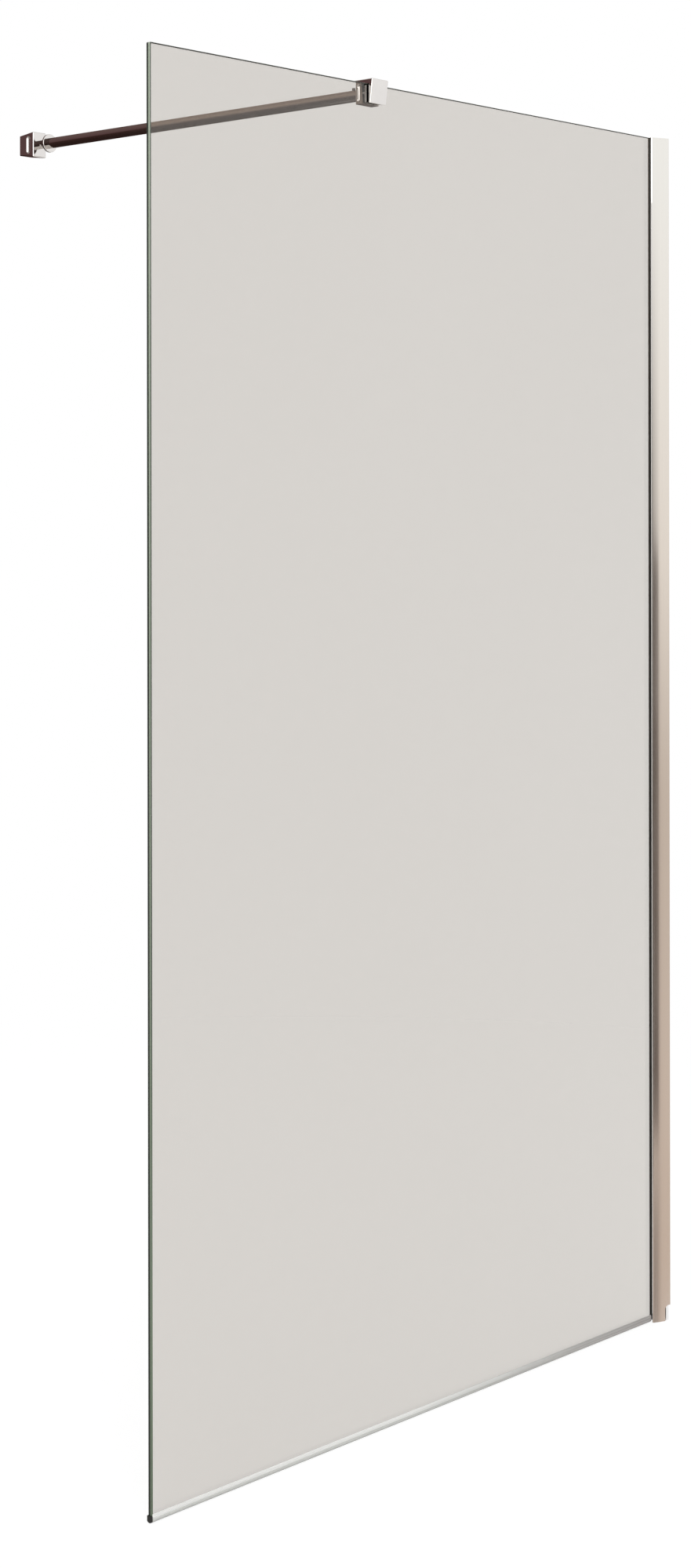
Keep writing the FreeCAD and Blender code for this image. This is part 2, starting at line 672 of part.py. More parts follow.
def tapered(half_width, start, end, inset):
    """Prism with the block's taper, inset from its outside, between two depths."""
    near = block_half_height(start) - inset
    far = block_half_height(end) - inset
    path = [(start, BAR_Z - near), (start, BAR_Z + near), (end, BAR_Z + far), (end, BAR_Z - far)]
    return prism(path, on_yz(CLAMP_X - half_width), (2 * half_width, 0, 0))


def wall_block():
    half = BLOCK_WIDTH / 2
    rim = REAR_WALL_REACH - BLOCK_WALL_GAP
    body = tapered(half, BLOCK_FRONT_Y, rim, 0)
    body = rounded(body, BLOCK_EDGE_R, lambda edge: edge.CenterOfMass.y < rim - NEAR)
    inside = half - BLOCK_SIDE_WALL
    cavity = tapered(inside, BLOCK_FRONT_Y + BLOCK_FRONT_WALL, REAR_WALL_REACH, BLOCK_SIDE_WALL)
    body = cut_flutes(body.cut(cavity), BLOCK_FLUTE, half, BLOCK_FRONT_Y + BLOCK_FLUTE_INSET)
    start = (CLAMP_X, BLOCK_FRONT_Y - BLOCK_EDGE_R, BAR_Z)
    body = body.cut(rod(SPIGOT_SHANK_R + SCREW_FIT, start, (0, 1, 0), 2 * BLOCK_FRONT_WALL))
    return body.cut(block_screw(BLOCK_SCREW_R + SCREW_FIT, BLOCK_HEIGHT / 2))


def base_foot():
    """Distance from the bar's axis to the underside of the base, where the block's screw bears."""
    return block_half_height(REAR_WALL_REACH) - BLOCK_SIDE_WALL - BASE_FIT


def block_screw(radius, outer):
    """Upright screw under the block, from the base out to the given distance from the bar's axis."""
    inner = base_foot()
    place = (CLAMP_X, REAR_WALL_REACH - BLOCK_SCREW_FROM_WALL, BAR_Z - inner)
    return rod(radius, place, (0, 0, -1), outer - inner)


def wall_base():
    """Base inside the block, flat against the rear wall, with two countersunk screw holes."""
    half = BLOCK_WIDTH / 2 - BLOCK_SIDE_WALL - BASE_FIT
    foot = base_foot()
    front = REAR_WALL_REACH - BASE_DEPTH
    base = block((CLAMP_X - half, CLAMP_X + half), (front, REAR_WALL_REACH), (BAR_Z - foot, BAR_Z + foot))
    for side in (-1, 1):
        z = BAR_Z + side * BASE_HOLE_SPACING / 2
        base = base.cut(rod(BASE_HOLE_R, (CLAMP_X, front, z), (0, 1, 0), BASE_DEPTH))
        base = base.cut(cone_on_y(BASE_SINK_R, BASE_HOLE_R, (CLAMP_X, front, z), BASE_SINK_DEPTH))
    return base


def wall_block_screw():
    y = REAR_WALL_REACH - BLOCK_SCREW_FROM_WALL
    outer = block_half_height(y) - BLOCK_SCREW_SINK
    return block_screw(BLOCK_SCREW_R, outer).cut(hex_socket(CLAMP_X, y, BAR_Z - outer, (0, 0, 1)))


PIECES = {
    "wall_channel": wall_channel(),
    "glazing_profile": glazing_profile(),
    "front_gasket": gasket(-1),
    "rear_gasket": gasket(1),
    "glass_edge_strip": glass_edge_strip(),
    "profile_top_cap": profile_top_cap(),
    "profile_lock_screws": profile_lock_screws(),
    "lock_screw_covers": lock_screw_covers(),
    "glass_panel": glass_panel(),
    "bottom_seal": bottom_seal(),
    "seal_end_cap": seal_end_cap(),
    "clamp_body": clamp_body(),
    "clamp_front_pad": clamp_front_pad(),
    "clamp_rear_pad": clamp_rear_pad(),
    "clamp_pressure_plate": clamp_pressure_plate(),
    "clamp_screws": clamp_screws(),
    "bar_spigot": bar_spigot(),
    "support_bar": support_bar(),
    "bar_lock_screw": bar_lock_screw(),
    "bar_set_screw": bar_set_screw(),
    "wall_stud": wall_stud(),
    "wall_block": wall_block(),
    "wall_base": wall_base(),
    "wall_block_screw": wall_block_screw(),
}

os.makedirs("parts", exist_ok=True)
for name, shape in PIECES.items():
    box = shape.BoundBox
    print(f"{name}: solids {len(shape.Solids)}, valid {shape.isValid()}, volume {shape.Volume:.1f},"
          f" x {box.XMin:.2f} to {box.XMax:.2f}, y {box.YMin:.2f} to {box.YMax:.2f},"
          f" z {box.ZMin:.2f} to {box.ZMax:.2f}")
    shape.exportStep(f"parts/{name}.step")
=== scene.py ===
import json
import math

import bmesh
import bpy
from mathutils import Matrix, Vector


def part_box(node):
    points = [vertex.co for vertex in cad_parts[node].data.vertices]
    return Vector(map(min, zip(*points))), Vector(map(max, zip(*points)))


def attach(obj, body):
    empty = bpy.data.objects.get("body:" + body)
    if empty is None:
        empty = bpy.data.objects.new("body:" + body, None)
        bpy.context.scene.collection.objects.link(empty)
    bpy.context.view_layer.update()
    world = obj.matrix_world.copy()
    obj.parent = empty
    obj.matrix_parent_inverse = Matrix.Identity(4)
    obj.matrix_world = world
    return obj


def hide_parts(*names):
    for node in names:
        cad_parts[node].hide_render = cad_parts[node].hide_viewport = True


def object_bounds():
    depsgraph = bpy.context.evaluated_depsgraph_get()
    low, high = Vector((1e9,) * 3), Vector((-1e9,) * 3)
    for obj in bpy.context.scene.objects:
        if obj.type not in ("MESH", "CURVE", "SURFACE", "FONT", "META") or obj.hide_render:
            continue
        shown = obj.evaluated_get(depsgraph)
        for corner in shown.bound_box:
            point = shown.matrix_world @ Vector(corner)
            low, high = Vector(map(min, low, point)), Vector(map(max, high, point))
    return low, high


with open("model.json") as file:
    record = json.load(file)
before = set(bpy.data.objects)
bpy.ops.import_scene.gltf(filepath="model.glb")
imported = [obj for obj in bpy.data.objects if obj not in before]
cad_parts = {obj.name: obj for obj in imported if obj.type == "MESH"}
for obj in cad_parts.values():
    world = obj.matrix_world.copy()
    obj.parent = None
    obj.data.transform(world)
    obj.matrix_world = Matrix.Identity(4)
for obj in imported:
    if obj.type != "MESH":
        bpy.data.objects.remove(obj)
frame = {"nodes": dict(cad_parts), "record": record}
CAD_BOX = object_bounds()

# Walk-in shower screen: the finishes of its pieces, the glass pane and a plain white studio.
# Metres. X runs along the glass to the side wall, Y from the glass to the rear wall and Z up.

# Camera, fitted to the photograph: level, from the front left, at chest height
IMAGE_LONG_SIDE = 2000.0
IMAGE_MIDDLE_ROW = 1000.0
HORIZON_ROW = 668.0
FOCAL_PIXELS = 3218.1
SENSOR_MM = 36.0
CAMERA_PLACE = (-3.2678, -2.2996, 1.2478)
CAMERA_LEVEL = math.radians(90.0)
CAMERA_HEADING = math.radians(-47.785)
CAMERA_ROLL = 0.0014

# Light on the part, and how white the studio shows
AMBIENT = 0.72
KEY_PLACE = (-2.6, -2.2, 3.6)
KEY_SIZE = 2.4
KEY_WATTS = 70.0
WHITE = (1.0, 1.0, 1.0)
FLOOR_WHITE = (0.95, 0.95, 0.95)
FLOOR_GLOW = 0.84
FLOOR_SHINE = 1.06
FLOOR_FADE = (1.2, 2.6)
FLOOR_HALF = 14.0
FLOOR_DROP = 0.0005

# Colours, linear
GLASS_TINT = ((0.645, 0.618, 0.585), (0.660, 0.634, 0.603))
SIDE_EDGE = ((0.016, 0.024, 0.017), (0.120, 0.155, 0.105), (0.400, 0.460, 0.360))
TOP_EDGE = ((0.022, 0.019, 0.017), (0.030, 0.027, 0.024), (0.030, 0.027, 0.024))
CHROME = ((0.80, 0.775, 0.755), (0.74, 0.715, 0.695))
ALUMINIUM = ((0.88, 0.865, 0.85), (0.83, 0.815, 0.80))
MILL = ((0.92, 0.915, 0.905), (0.84, 0.835, 0.825))
STEEL = ((0.60, 0.59, 0.575), (0.48, 0.47, 0.46))
BLACKENED = ((0.100, 0.076, 0.070), (0.062, 0.046, 0.042))
RUBBER = ((0.014, 0.014, 0.012), (0.045, 0.044, 0.038))
END_PLASTIC = ((0.008, 0.008, 0.008), (0.020, 0.020, 0.019))
# painted light: the seal's lip brighter where it faces up, over the milky vinyl's own pale tone
VINYL_LIT_LIP = (0.98, 0.98, 0.95)
VINYL_LEG = (0.60, 0.605, 0.575)
# painted shade on the seal's leg towards the wall
VINYL_SHADED_BY_WALL = (0.40, 0.375, 0.36)
# painted shade under the seal's foot
VINYL_SHADED_UNDER = (0.24, 0.24, 0.225)
VINYL_DRAWN = (0.74, 0.74, 0.71)
COVER_PLASTIC = ((0.90, 0.90, 0.88), (0.85, 0.85, 0.83))

# Marks in the finishes: how close they lie along X, Y and Z, and how much detail they have
GLASS_DRIFT = ((1.6, 1.6, 0.9), 2.0)
EDGE_SPECK = ((900.0, 900.0, 900.0), 2.0)
CHROME_CLOUD = ((70.0, 70.0, 70.0), 3.0)
CHROME_HAIRLINE = ((2600.0, 90.0, 2600.0), 4.0)
ALUMINIUM_LINES = ((1500.0, 1500.0, 4.0), 4.0)
ALUMINIUM_CLOUD = ((30.0, 30.0, 6.0), 2.0)
MILL_LINES = ((1800.0, 1800.0, 5.0), 5.0)
STEEL_MARKS = ((3000.0, 500.0, 3000.0), 4.0)
BLACKENED_MARKS = ((3000.0, 3000.0, 500.0), 4.0)
RUBBER_LINES = ((1600.0, 1600.0, 8.0), 3.0)
RUBBER_BLOOM = ((90.0, 90.0, 30.0), 4.0)
BLOOM_GAIN = 2.0
PLASTIC_SPARK = ((2400.0, 2400.0, 2400.0), 2.0)
VINYL_LINES = ((2.0, 900.0, 900.0), 2.0)
COVER_FLOW = ((300.0, 300.0, 300.0), 2.0)

# Roughness: the least, and what each kind of mark adds
EDGE_ROUGH = (0.12, 0.16)
CHROME_ROUGH = (0.035, 0.05, 0.03)
ALUMINIUM_ROUGH = (0.07, 0.07, 0.05)
MILL_ROUGH = (0.28, 0.16)
STEEL_ROUGH = (0.22, 0.14)
BLACKENED_ROUGH = (0.30, 0.16)
RUBBER_ROUGH = (0.48, 0.22)
PLASTIC_ROUGH = (0.34, 0.14)
VINYL_ROUGH = (0.22, 0.12)
COVER_ROUGH = (0.18, 0.08)

# Depth of the marks
EDGE_RELIEF = 0.00004
CHROME_RELIEF = 0.000004
ALUMINIUM_RELIEF = 0.000006
MILL_RELIEF = 0.00002
STEEL_RELIEF = 0.00001
RUBBER_RELIEF = 0.00004
PLASTIC_RELIEF = 0.00003
VINYL_RELIEF = 0.00001
COVER_RELIEF = 0.00002

# Foot seal: where the painted light of its lip and the painted shade of its underside lie, and how its
# painted shade changes from free end to wall
LIT_LIP_BELOW_GLASS = 0.0010
LIT_LIP_ABOVE_FOOT = 0.0035
SEAL_SHADED_UNDER = 0.0026
LIT_LIP_FADE = (0.46, 0.82)
LEG_SHADE = (0.5, 1.0)
VINYL_STREAK = 0.14
VINYL_IOR = 1.53
VINYL_CLEARNESS = 0.15

# Pane, with the stripe on its ground edges as shares of their width and height
PANE_ARRIS = 0.0006
PANE_IOR = 1.5
PANE_COAT = 0.35
PANE_SHINE = (1.0, 0.90, 0.80)
STRIPE_START = (0.06, 0.20)
STRIPE_END = (0.40, 0.56)
STRIPE_WIDENS = (0.12, 0.40)
STRIPE_SPECK = 0.16
SQUARE_ON = 0.9

# Cards that show only in the metal, after a least and a most number of mirrorings
ONCE = (1, 1)
ONCE_OR_MORE = (1, 9)
TWICE_OR_MORE = (2, 9)
HALF_STEP = 0.5

# Dim room round the bar, from its foot to its top: ahead of the bar's wall end, beside the bar,
# and for metal that is seen through the pane
ROOM_RADIUS = 4.0
ROOM_SEGMENTS = (48, 32)
ROOM_RIM = 0.0001
ROOM_MIDDLE = (0.86, 0.94)
ROOM_PALE = (0.62, 0.59, 0.56)
ROOM_AHEAD = (
    (0.05, (0.520, 0.495, 0.470)),
    (0.13, (0.022, 0.012, 0.010)),
    (0.46, (0.044, 0.021, 0.018)),
    (0.55, (0.108, 0.060, 0.060)),
    (0.80, (0.132, 0.083, 0.077)),
    (0.90, (0.132, 0.083, 0.077)),
    (0.97, (0.550, 0.520, 0.500)),
)
ROOM_SIDE = (0.66, 0.72)
ROOM_BESIDE = (
    (0.05, (0.520, 0.495, 0.470)),
    (0.47, (0.400, 0.370, 0.345)),
    (0.55, (0.108, 0.060, 0.060)),
    (0.63, (0.108, 0.060, 0.060)),
    (0.72, (0.360, 0.320, 0.295)),
    (0.95, (0.550, 0.520, 0.500)),
)
ROOM_BEHIND_PANE = (
    (0.05, (0.520, 0.495, 0.470)),
    (0.13, (0.022, 0.012, 0.010)),
    (0.46, (0.050, 0.026, 0.022)),
    (0.56, (0.230, 0.180, 0.145)),
    (0.76, (0.320, 0.240, 0.190)),
    (1.00, (0.140, 0.090, 0.075)),
)
NEAR_MIDDLE = (0.050, 0.030, 0.027)
NEAR_DIM = (
    (0.20, (0.014, 0.008, 0.007)),
    (0.50, NEAR_MIDDLE),
    (0.75, (0.085, 0.060, 0.055)),
)
NEAR_BEHIND_PANE = (
    (0.20, (0.420, 0.400, 0.370)),
    (0.50, (0.620, 0.600, 0.570)),
    (0.75, (0.800, 0.780, 0.750)),
)

# Room before the wall profile, with a doorway, the post over it and a skirting
FRONT_DISTANCE = 2.8
FRONT_BEARINGS = (math.radians(-4.0), math.radians(27.0))
FRONT_HEIGHTS = (-1.0, 2.4)
FRONT_STOPS = (
    (0.05, (0.605, 0.475, 0.385)),
    (0.20, (0.645, 0.525, 0.440)),
    (0.45, (0.610, 0.510, 0.430)),
    (0.64, (0.870, 0.795, 0.715)),
    (0.95, (1.000, 0.995, 0.955)),
)
DOOR = (0.088, 0.064, 0.052)
DOOR_BEARINGS = (math.radians(0.4), math.radians(5.0))
DOOR_HEIGHTS = (-0.37, 1.17)
DOOR_SOFT = 0.03
POST_BEARINGS = (math.radians(0.0), math.radians(3.0))
POST_HEIGHTS = (1.17, 2.15)
POST_SOFT = 0.05
POST_SHARE = 0.72
SKIRTING_BEARINGS = (math.radians(2.0), math.radians(9.0))
SKIRTING_HEIGHTS = (-0.60, -0.44)
SKIRTING_SHARE = 0.6

# What the profile's nose mirrors, close before it
NOSE_DISTANCE = 0.022
NOSE_BEARINGS = (math.radians(-4.0), math.radians(-80.0))
NOSE_HEIGHTS = (-0.02, 1.75)
NOSE_STOPS = (
    (0.12, (0.420, 0.330, 0.270)),
    (0.23, (0.120, 0.097, 0.078)),
    (0.52, (0.120, 0.100, 0.085)),
    (0.68, (0.210, 0.185, 0.165)),
    (0.78, (0.420, 0.390, 0.360)),
    (1.00, (0.950, 0.940, 0.920)),
)

# Window to the left of the bar
WINDOW_DISTANCE = 1.6
WINDOW_BEARINGS = (math.radians(157.0), math.radians(250.0))
WINDOW_HEIGHTS = (1.6, 2.7)
WINDOW_STOPS = ((0.0, (1.0, 0.99, 0.97)), (1.0, WHITE))
WINDOW_STRENGTH = 2.2

# Places of the colour sockets in a Mix node
MIX_FIRST = 6
MIX_SECOND = 7
MIX_RESULT = 2


class Signal:
    """A socket in a node tree. Sums written with it become Math nodes there."""

    def __init__(self, graph, socket):
        self.graph = graph
        self.socket = socket

    def math(self, operation, first, second):
        return self.graph.node("Math", {"operation": operation}, {0: first, 1: second})

    def __add__(self, other):
        return self.math("ADD", self, other)

    def __sub__(self, other):
        return self.math("SUBTRACT", self, other)

    def __rsub__(self, other):
        return self.math("SUBTRACT", other, self)

    def __mul__(self, other):
        return self.math("MULTIPLY", self, other)

    def __abs__(self):
        return self.math("ABSOLUTE", self, 0.0)

    def either(self, other):
        return self.math("MAXIMUM", self, other)

    __radd__ = __add__
    __rmul__ = __mul__


class Graph:
    """The node tree of a material or a world, built one node at a time."""

    def __init__(self, owner):
        owner.use_nodes = True
        self.owner = owner
        self.tree = owner.node_tree
        self.tree.nodes.clear()

    def node(self, kind, settings=None, inputs=None, output=0):
        """Add a node: its settings first, then the values or links of its sockets."""
        made = self.tree.nodes.new("ShaderNode" + kind)
        for name, value in (settings or {}).items():
            if name == "stops":
                self.set_stops(made.color_ramp, value)
            else:
                setattr(made, name, value)
        for key, value in (inputs or {}).items():
            self.feed(made.inputs[key], value)
        return Signal(self, made.outputs[output]) if made.outputs else None

    def set_stops(self, ramp, stops):
        while len(ramp.elements) < len(stops):
            ramp.elements.new(1.0)
        for element, (position, colour) in zip(ramp.elements, stops):
            element.position = position
            element.color = (*colour, 1.0)

    def feed(self, socket, value):
        if isinstance(value, Signal):
            self.tree.links.new(value.socket, socket)
        elif socket.type == "RGBA":
            socket.default_value = (*value, 1.0)
        else:
            socket.default_value = value

    def place(self):
        """A point of the surface, in the part's own frame."""
        return self.node("TexCoord", output="Object")

    def along(self, axis):
        """One coordinate of the part's own frame."""
        return self.node("SeparateXYZ", {}, {0: self.place()}, output=axis)

    def grain(self, scale, detail):
        """Noise fixed to the part. The three scales stretch it along X, Y and Z."""
        stretched = self.node("VectorMath", {"operation": "MULTIPLY"}, {0: self.place(), 1: scale})
        return self.node("TexNoise", {}, {"Vector": stretched, "Scale": 1.0, "Detail": detail})

    def share(self, value, low, high):
        """Where a value lies between two limits, from 0 to 1."""
        limits = {"Value": value, "From Min": low, "From Max": high}
        return self.node("MapRange", {"clamp": True}, limits)

    def band(self, value, low, high, soft):
        """1 between two limits, falling to 0 over a soft width outside them."""
        return self.share(value, low - soft, low) * (1.0 - self.share(value, high, high + soft))

    def ray(self, output):
        """What is known of the ray that meets the surface."""
        return self.node("LightPath", output=output)

    def blend(self, factor, colours):
        first, second = colours
        inputs = {"Factor": factor, MIX_FIRST: first, MIX_SECOND: second}
        return self.node("Mix", {"data_type": "RGBA"}, inputs, output=MIX_RESULT)

    def mix_shader(self, factor, first, second):
        return self.node("MixShader", {}, {0: factor, 1: first, 2: second})

    def rough(self, levels, *marks):
        """Roughness: the least, and what each kind of mark adds to it."""
        total, *shares = levels
        for share, mark in zip(shares, marks):
            total = total + share * mark
        return total

    def bump(self, height, distance):
        return self.node("Bump", {}, {"Height": height, "Distance": distance, "Strength": 1.0})

    def surface(self, shader):
        self.node("OutputMaterial", {}, {"Surface": shader})
        return self.owner

    def principled(self, inputs):
        return self.surface(self.node("BsdfPrincipled", {}, inputs))


def finish(name):
    return Graph(bpy.data.materials.new(name))


# Finishes

def clear_glass():
    """Faces of the pane: smooth, with a warm grey tint that drifts a little."""
    graph = finish("clear_glass")
    drift = graph.grain(*GLASS_DRIFT)
    return graph.principled({
        "Base Color": graph.blend(drift, GLASS_TINT),
        "Roughness": 0.0,
        "IOR": PANE_IOR,
        "Specular Tint": PANE_SHINE,
        "Transmission Weight": 1.0,
        "Coat Weight": PANE_COAT,
        "Coat Roughness": 0.0,
    })


def ground_edge(name, dark, pale_foot, pale_top):
    """Ground edge of the pane: dark, with a paler stripe that widens to the front towards the foot."""
    graph = finish(name)
    low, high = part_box("glass_panel")
    across = graph.share(graph.along("Y"), low.y, high.y)
    up = graph.share(graph.along("Z"), low.z, high.z)
    speck = graph.grain(*EDGE_SPECK)
    inner = graph.share(across, *STRIPE_START).either(1.0 - graph.share(up, *STRIPE_WIDENS))
    stripe = inner * (1.0 - graph.share(across, *STRIPE_END))
    pale = graph.blend(up, (pale_foot, pale_top))
    return graph.principled({
        "Base Color": graph.blend(stripe + STRIPE_SPECK * speck - STRIPE_SPECK / 2, (dark, pale)),
        "Roughness": graph.rough(EDGE_ROUGH, speck),
        "IOR": PANE_IOR,
        "Normal": graph.bump(speck, EDGE_RELIEF),
    })


def chrome_plate():
    """Bright plate, with a faint cloud in the polish and hairlines left by wiping."""
    graph = finish("chrome_plate")
    cloud = graph.grain(*CHROME_CLOUD)
    hairline = graph.grain(*CHROME_HAIRLINE)
    return graph.principled({
        "Base Color": graph.blend(cloud, CHROME),
        "Metallic": 1.0,
        "Roughness": graph.rough(CHROME_ROUGH, cloud, hairline),
        "Normal": graph.bump(hairline, CHROME_RELIEF),
    })


def polished_extrusion():
    """Polished aluminium, with the drawn lines of an extrusion along its length."""
    graph = finish("polished_extrusion")
    drawn = graph.grain(*ALUMINIUM_LINES)
    cloud = graph.grain(*ALUMINIUM_CLOUD)
    return graph.principled({
        "Base Color": graph.blend(drawn, ALUMINIUM),
        "Metallic": 1.0,
        "Roughness": graph.rough(ALUMINIUM_ROUGH, drawn, cloud),
        "Normal": graph.bump(drawn, ALUMINIUM_RELIEF),
    })


def black_rubber():
    """Extruded rubber, with lines along it and a greyish bloom."""
    graph = finish("black_rubber")
    drawn = graph.grain(*RUBBER_LINES)
    bloom = graph.grain(*RUBBER_BLOOM)
    return graph.principled({
        "Base Color": graph.blend(bloom * drawn * BLOOM_GAIN, RUBBER),
        "Roughness": graph.rough(RUBBER_ROUGH, bloom),
        "Normal": graph.bump(drawn, RUBBER_RELIEF),
    })


def clear_vinyl():
    """Milky clear vinyl of the foot seal: thin along its lip, with painted light there, painted shade
    on its leg towards the wall and painted shade under its foot.
    """
    graph = finish("clear_vinyl")
    low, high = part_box("bottom_seal")
    drawn = graph.grain(*VINYL_LINES)
    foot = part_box("glass_panel")[0].z
    height = graph.along("Z")
    to_wall = graph.share(graph.along("X"), low.x, high.x)
    # painted light: the lip lighter where it faces up, fading out towards the wall
    lit_lip = graph.share(height, foot - LIT_LIP_BELOW_GLASS, foot + LIT_LIP_ABOVE_FOOT)
    lit_lip = lit_lip * (1.0 - graph.share(to_wall, *LIT_LIP_FADE))
    # painted shade: the leg darker towards the wall
    shaded_leg = graph.blend(graph.share(to_wall, *LEG_SHADE), (VINYL_LEG, VINYL_SHADED_BY_WALL))
    # painted shade: the leg darker still along the underside of the foot
    shaded_leg = graph.blend(graph.share(height, low.z, low.z + SEAL_SHADED_UNDER), (VINYL_SHADED_UNDER, shaded_leg))
    plain = graph.blend(lit_lip, (shaded_leg, VINYL_LIT_LIP))
    return graph.principled({
        "Base Color": graph.blend(VINYL_STREAK * drawn, (plain, VINYL_DRAWN)),
        "Roughness": graph.rough(VINYL_ROUGH, drawn),
        "IOR": VINYL_IOR,
        "Transmission Weight": VINYL_CLEARNESS,
        "Normal": graph.bump(drawn, VINYL_RELIEF),
    })


def marked_finish(name, colours, marks, roughness, relief, metallic):
    """Finish with one kind of mark, which varies its colour, its roughness and its relief."""
    graph = finish(name)
    mark = graph.grain(*marks)
    return graph.principled({
        "Base Color": graph.blend(mark, colours),
        "Metallic": metallic,
        "Roughness": graph.rough(roughness, mark),
        "Normal": graph.bump(mark, relief),
    })


def mill_extrusion():
    """Mill-finish aluminium, duller and more streaked than the polished profile."""
    return marked_finish("mill_extrusion", MILL, MILL_LINES, MILL_ROUGH, MILL_RELIEF, 1.0)


def stainless_steel():
    """Turned and stamped steel, with fine tool marks."""
    return marked_finish("stainless_steel", STEEL, STEEL_MARKS, STEEL_ROUGH, STEEL_RELIEF, 1.0)


def blackened_steel():
    """Oil-blackened steel of the bar's lock screw, with fine tool marks."""
    return marked_finish(
        "blackened_steel", BLACKENED, BLACKENED_MARKS, BLACKENED_ROUGH, STEEL_RELIEF, 1.0
    )


def moulded_black():
    """Moulded black plastic, with a fine spark-eroded grain."""
    return marked_finish(
        "moulded_black", END_PLASTIC, PLASTIC_SPARK, PLASTIC_ROUGH, PLASTIC_RELIEF, 0.0
    )


def cover_plastic():
    """Glossy pale plastic of the push-on screw covers and the clamp's rear pad."""
    return marked_finish(
        "cover_plastic", COVER_PLASTIC, COVER_FLOW, COVER_ROUGH, COVER_RELIEF, 0.0
    )


FINISHES = {
    "polished_aluminium": polished_extrusion(),
    "mill_aluminium": mill_extrusion(),
    "chrome": chrome_plate(),
    "stainless_steel": stainless_steel(),
    "blackened_steel": blackened_steel(),
    "black_rubber": black_rubber(),
    "black_plastic": moulded_black(),
    "clear_vinyl": clear_vinyl(),
    "pale_plastic": cover_plastic(),
    "clear_glass": clear_glass(),
}


def dress_nodes():
    """Give each solid the finish of its slot in the record."""
    for row in frame["record"]["subparts"]:
        for slot in frame["nodes"][row["node"]].material_slots:
            slot.material = FINISHES[row["material_slot"]]


# Pieces

def new_object(name, mesh_source):
    mesh = bpy.data.meshes.new(name)
    mesh_source.to_mesh(mesh)
    mesh_source.free()
    made = bpy.data.objects.new(name, mesh)
    bpy.context.scene.collection.objects.link(made)
    return made


def glass_pane():
    """The pane itself: two clear faces, with ground edges and an arris all round."""
    low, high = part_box("glass_panel")
    shape = bmesh.new()
    bmesh.ops.create_cube(shape, size=1.0)
    for vert in shape.verts:
        vert.co = Vector(
            middle + offset * span
            for middle, offset, span in zip((low + high) / 2, vert.co, high - low)
        )
    bmesh.ops.bevel(
        shape, geom=shape.edges[:], offset=PANE_ARRIS * math.sqrt(2.0), segments=1, affect="EDGES",
    )
    clear, side_edge, top_edge = range(3)
    for face in shape.faces:
        face.normal_update()
        if abs(face.normal.y) > SQUARE_ON:
            face.material_index = clear
        else:
            face.material_index = side_edge if abs(face.normal.z) < SQUARE_ON else top_edge
    pane = new_object("glass_pane", shape)
    pane.data.materials.append(FINISHES["clear_glass"])
    pane.data.materials.append(ground_edge("ground_side_edge", *SIDE_EDGE))
    pane.data.materials.append(ground_edge("ground_top_edge", *TOP_EDGE))
    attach(pane, "screen")
    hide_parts("glass_panel")


# Studio

def seen_rays(graph):
    """1 for the rays by which the camera, the metal or the glass sees a surface, else 0."""
    seen = graph.ray("Is Camera Ray")
    for way in ("Is Glossy Ray", "Is Transmission Ray"):
        seen = seen.either(graph.ray(way))
    return seen


def white_world():
    world = bpy.data.worlds.new("white_studio")
    bpy.context.scene.world = world
    graph = Graph(world)
    strength = AMBIENT + (1.0 - AMBIENT) * seen_rays(graph)
    light = graph.node("Background", {}, {"Color": WHITE, "Strength": strength})
    graph.node("OutputWorld", {}, {"Surface": light})


def white_floor():
    """White floor that keeps the part's shadow close by and fades into the white of the studio."""
    low, high = CAD_BOX
    shape = bmesh.new()
    bmesh.ops.create_grid(shape, x_segments=1, y_segments=1, size=FLOOR_HALF)
    floor = new_object("floor", shape)
    floor.location = ((low.x + high.x) / 2, (low.y + high.y) / 2, -FLOOR_DROP)
    graph = finish("white_floor")
    seen = seen_rays(graph)
    away = graph.node("VectorMath", {"operation": "LENGTH"}, {0: graph.place()}, output="Value")
    paint = graph.node("BsdfDiffuse", {}, {"Color": FLOOR_WHITE})
    glow = graph.node("Emission", {}, {"Color": WHITE, "Strength": FLOOR_SHINE})
    near = graph.mix_shader(FLOOR_GLOW * seen, paint, glow)
    white = graph.node("Emission", {}, {"Color": WHITE, "Strength": 1.0})
    plain = graph.mix_shader(graph.share(away, *FLOOR_FADE) * seen, near, white)
    mirrored = graph.share(graph.ray("Glossy Depth"), 0.0, 1.0)
    clear = graph.node("BsdfTransparent")
    floor.data.materials.append(graph.surface(graph.mix_shader(mirrored, plain, clear)))
    floor.visible_glossy = False


def metal_card(graph, card, colour, bounces, strength=1.0):
    """Show a card only in metal, after so many mirrorings, and not in the pane's sharp ones."""
    mirrored = graph.band(graph.ray("Glossy Depth"), *bounces, HALF_STEP)
    mirrored = mirrored * (1.0 - graph.ray("Is Singular Ray"))
    clear = graph.node("BsdfTransparent")
    glow = graph.node("Emission", {}, {"Color": colour, "Strength": strength})
    card.data.materials.append(graph.surface(graph.mix_shader(mirrored, clear, glow)))
    card.visible_camera = False
    card.visible_diffuse = False
    card.visible_shadow = False


def by_height(graph, heights, stops):
    share = graph.share(graph.along("Z"), *heights)
    return graph.node("ValToRGB", {"stops": stops}, {0: share})


def upright(name, start, end, heights):
    """Upright card over the ground line between two points."""
    shape = bmesh.new()
    low, high = heights
    corners = [(*start, low), (*end, low), (*end, high), (*start, high)]
    shape.faces.new([shape.verts.new(corner) for corner in corners])
    return new_object(name, shape)


